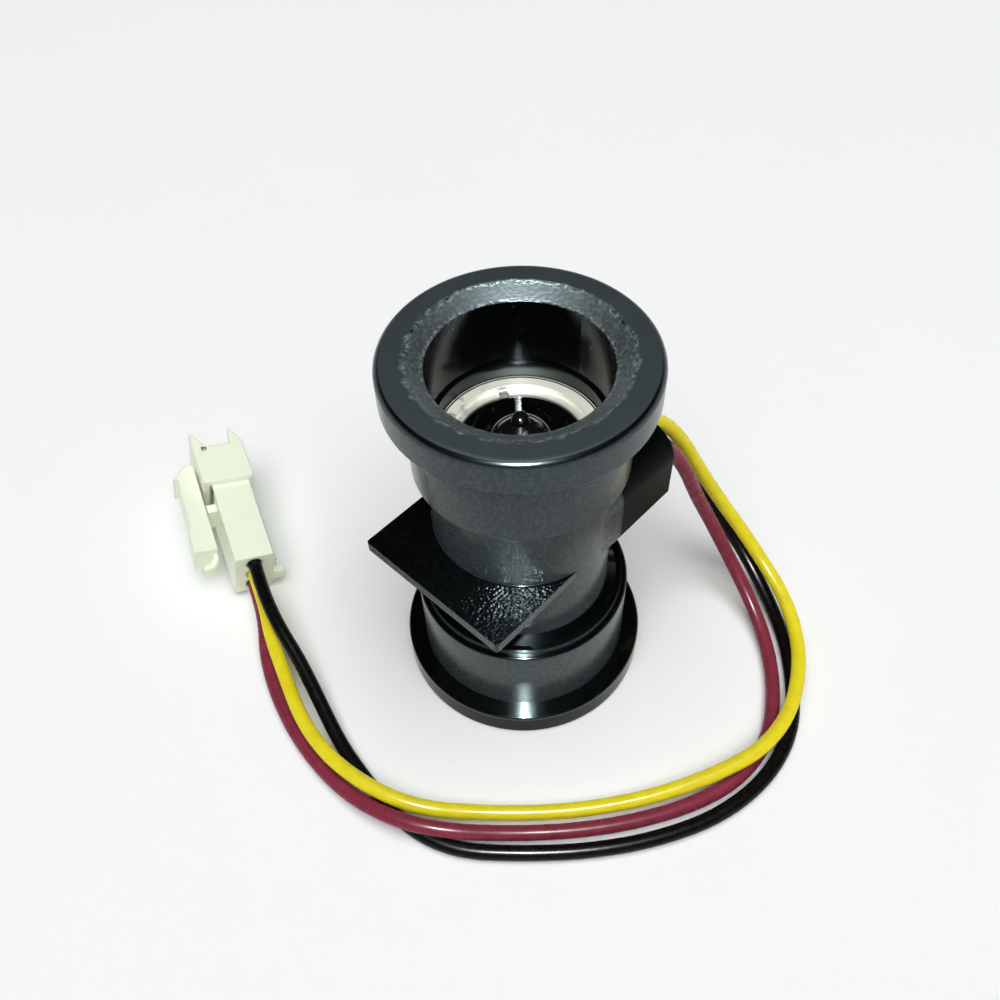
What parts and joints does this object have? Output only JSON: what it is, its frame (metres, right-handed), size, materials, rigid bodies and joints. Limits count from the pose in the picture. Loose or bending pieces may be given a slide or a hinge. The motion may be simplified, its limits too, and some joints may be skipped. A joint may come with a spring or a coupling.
{
  "type": "water flow turbine",
  "caption": "Turbine flow sensor: flanged plastic tube with a helical rotor inside, a sensor pod on its side, and hook-up wires to a small latching plug.",
  "frame": {"origin": "centre of the base flange's underside, on the flow axis", "axes": "+Z along the flow axis towards the inlet mouth, +X towards the sensor pod"},
  "size_m": [0.0547, 0.0814, 0.0442],
  "materials": {
    "body_black": "moulded, satin to gloss",
    "ring_steel": "bright spring steel",
    "stator_black": "gloss moulded",
    "bearing_plastic": "natural low-friction plastic",
    "rotor_plastic": "moulded",
    "shaft_steel": "ground",
    "magnet_ferrite": "sintered",
    "board_green": "solder mask",
    "chip_black": "moulded epoxy",
    "tinned_metal": "tinned",
    "capacitor_ceramic": "ceramic",
    "potting_black": "cast resin",
    "wire_yellow": "extruded insulation",
    "wire_red": "extruded insulation",
    "wire_black": "extruded insulation",
    "plug_nylon": "natural nylon",
    "contact_metal": "tinned brass"
  },
  "bodies": {
    "meter": {"flow_body": "body_black", "retaining_ring": "ring_steel", "inlet_stator": "stator_black", "inlet_bearing": "bearing_plastic", "outlet_support": "stator_black", "outlet_bearing": "bearing_plastic", "sensor_board": "board_green", "hall_sensor": "chip_black", "hall_leads": "tinned_metal", "board_capacitor": "capacitor_ceramic", "solder_joints": "tinned_metal", "potting_compound": "potting_black", "wire_yellow": "wire_yellow", "wire_red": "wire_red", "wire_black": "wire_black", "connector_housing": "plug_nylon", "connector_contacts": "contact_metal"},
    "rotor": {"rotor": "rotor_plastic", "rotor_shaft": "shaft_steel", "ring_magnet": "magnet_ferrite", "magnet_cap": "rotor_plastic", "thrust_washers": "bearing_plastic"},
    "latch_lever": {"connector_latch_lever": "plug_nylon"}
  },
  "joints": [
    {"name": "rotor_spin", "type": "hinge", "parent": "meter", "child": "rotor", "pos_m": [0, 0, 0.0227], "axis": [0, 0, 1], "continuous": true},
    {"name": "latch_squeeze", "type": "hinge", "parent": "meter", "child": "latch_lever", "pos_m": [-0.01729, 0.03827, 0.00542], "axis": [0.1744, -0.1613, 0.9714], "range_deg": [0, 5], "stiffness_Nm_per_rad": 0.05}
  ]
}
